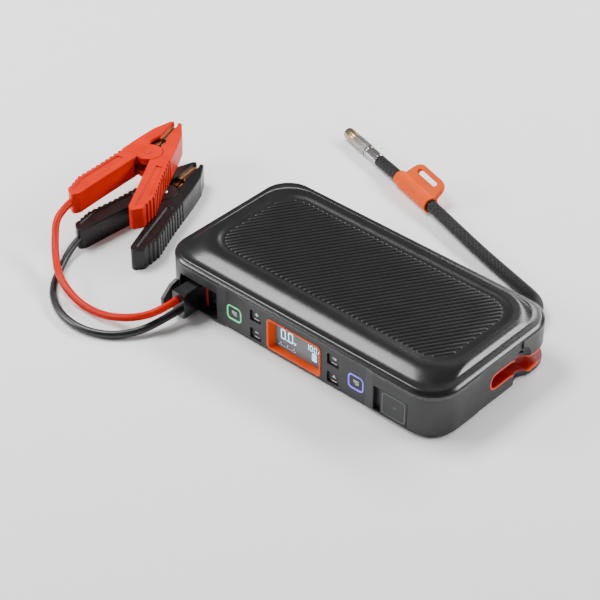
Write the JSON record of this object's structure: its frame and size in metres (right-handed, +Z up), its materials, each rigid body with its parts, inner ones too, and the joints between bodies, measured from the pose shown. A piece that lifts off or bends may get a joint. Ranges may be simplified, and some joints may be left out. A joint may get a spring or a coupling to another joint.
{
  "type": "jump starter pack",
  "caption": "Flat jump starter pack with control row, hose channel, air hose with valve coupler, and a plug-in lead set with red and black clamps.",
  "frame": {"origin": "middle of the underside of the anti-slip base pad, on the ground plane", "axes": "+X along the case to the USB end, -Y out of the control side, +Z up"},
  "size_m": [0.3572, 0.3086, 0.04],
  "materials": {
    "housing": "satin moulded plastic, dark grey",
    "cover": "satin moulded plastic, black",
    "grip_rubber": "ribbed black rubber",
    "orange_plastic": "smooth orange plastic",
    "lens": "smoked display window",
    "board": "circuit board",
    "key_plastic": "satin black plastic",
    "power_light": "translucent, lit green",
    "mode_light": "translucent, lit violet",
    "steel": "plain steel",
    "black_plastic": "glossy black plastic",
    "contact_brass": "plated contacts",
    "flap_rubber": "grey rubber",
    "alloy": "turned alloy",
    "hose_braid": "black braided hose",
    "collar_brass": "knurled champagne collar",
    "tab_rubber": "orange rubber",
    "red_insulation": "red cable insulation",
    "black_insulation": "black cable insulation",
    "red_plastic": "satin red plastic",
    "clamp_black": "satin charcoal plastic",
    "copper": "copper-plated jaws"
  },
  "bodies": {
    "case": {"bottom_shell": "housing", "top_cover": "cover", "grip_pad": "grip_rubber", "base_pad": "grip_rubber", "case_screws": "steel", "display_bezel": "orange_plastic", "display_lens": "lens", "display_module": "board", "key_board": "board", "power_ring": "power_light", "mode_ring": "mode_light", "usb_door_pin": "steel", "usb_c_socket": "steel", "usb_a_socket": "steel", "output_socket": "black_plastic", "socket_pins": "contact_brass", "port_liner": "black_plastic", "hose_channel": "orange_plastic", "hose_gland": "alloy", "air_hose": "hose_braid", "hose_ferrule": "steel", "coupler_body": "alloy", "pull_tab": "tab_rubber", "main_board": "board", "battery_cells": "alloy", "battery_cradle": "black_plastic", "pump_motor": "steel", "pump_cylinder": "alloy", "cylinder_head": "alloy", "pump_frame": "black_plastic", "air_tube": "hose_braid"},
    "power_key": {"power_button": "key_plastic"},
    "mode_key": {"mode_button": "key_plastic"},
    "plus_cap": {"plus_key": "key_plastic"},
    "minus_cap": {"minus_key": "key_plastic"},
    "unit_cap": {"unit_key": "key_plastic"},
    "lamp_cap": {"lamp_key": "key_plastic"},
    "usb_flap": {"usb_door": "key_plastic"},
    "port_flap": {"port_cover": "flap_rubber"},
    "collar": {"coupler_collar": "collar_brass"},
    "pinion": {"motor_pinion": "steel"},
    "crank": {"crank_gear": "black_plastic"},
    "piston": {"pump_piston": "black_plastic"},
    "lead_set": {"plug_body": "black_plastic", "plug_contacts": "contact_brass", "red_lead": "red_insulation", "black_lead": "black_insulation", "red_clamp_handle": "red_plastic", "red_handle_jaw": "copper", "red_clamp_pin": "steel", "red_clamp_spring": "steel", "black_clamp_handle": "clamp_black", "black_handle_jaw": "copper", "black_clamp_pin": "steel", "black_clamp_spring": "steel"},
    "red_lever": {"red_clamp_lever": "red_plastic", "red_lever_jaw": "copper"},
    "black_lever": {"black_clamp_lever": "clamp_black", "black_lever_jaw": "copper"}
  },
  "joints": [
    {"name": "power_press", "type": "slide", "parent": "case", "child": "power_key", "axis": [0, 1, 0], "range_m": [0, 0.0008], "stiffness_N_per_m": 500},
    {"name": "mode_press", "type": "slide", "parent": "case", "child": "mode_key", "axis": [0, 1, 0], "range_m": [0, 0.0008], "stiffness_N_per_m": 500},
    {"name": "plus_press", "type": "slide", "parent": "case", "child": "plus_cap", "axis": [0, 1, 0], "range_m": [0, 0.0007], "stiffness_N_per_m": 500},
    {"name": "minus_press", "type": "slide", "parent": "case", "child": "minus_cap", "axis": [0, 1, 0], "range_m": [0, 0.0007], "stiffness_N_per_m": 500},
    {"name": "unit_press", "type": "slide", "parent": "case", "child": "unit_cap", "axis": [0, 1, 0], "range_m": [0, 0.0007], "stiffness_N_per_m": 500},
    {"name": "lamp_press", "type": "slide", "parent": "case", "child": "lamp_cap", "axis": [0, 1, 0], "range_m": [0, 0.0007], "stiffness_N_per_m": 500},
    {"name": "usb_door_hinge", "type": "hinge", "parent": "case", "child": "usb_flap", "pos_m": [0.0953, -0.061, 0.0131], "axis": [0, 0, 1], "range_deg": [0, 95]},
    {"name": "port_cover_hinge", "type": "hinge", "parent": "case", "child": "port_flap", "pos_m": [-0.1034, -0.0629, 0.0125], "axis": [0, 0, 1], "range_deg": [-60, 18]},
    {"name": "collar_spin", "type": "hinge", "parent": "case", "child": "collar", "pos_m": [-0.14905, 0.16916, 0.005], "axis": [-0.9534, 0.3017, 0], "continuous": true},
    {"name": "crank_spin", "type": "hinge", "parent": "case", "child": "crank", "pos_m": [0.0565, 0.0074, 0.0175], "axis": [1, 0, 0], "continuous": true},
    {"name": "pinion_spin", "type": "hinge", "parent": "case", "child": "pinion", "pos_m": [0.0565, 0.023, 0.0175], "axis": [1, 0, 0], "continuous": true},
    {"name": "piston_slide", "type": "slide", "parent": "case", "child": "piston", "axis": [0, -1, 0], "range_m": [0, 0.01]},
    {"name": "plug_pull", "type": "slide", "parent": "case", "child": "lead_set", "axis": [0, -1, 0], "range_m": [0, 0.018]},
    {"name": "red_squeeze", "type": "hinge", "parent": "lead_set", "child": "red_lever", "pos_m": [-0.2169, 0.0199, 0.0247], "axis": [0, 0, -1], "range_deg": [0, 26], "stiffness_Nm_per_rad": 0.6},
    {"name": "black_squeeze", "type": "hinge", "parent": "lead_set", "child": "black_lever", "pos_m": [-0.19, 0.008, 0.0082], "axis": [0, 0, -1], "range_deg": [0, 26], "stiffness_Nm_per_rad": 0.6}
  ],
  "couplings": [
    {"joint": "pinion_spin", "follows": "crank_spin", "ratio": -3.3333}
  ]
}
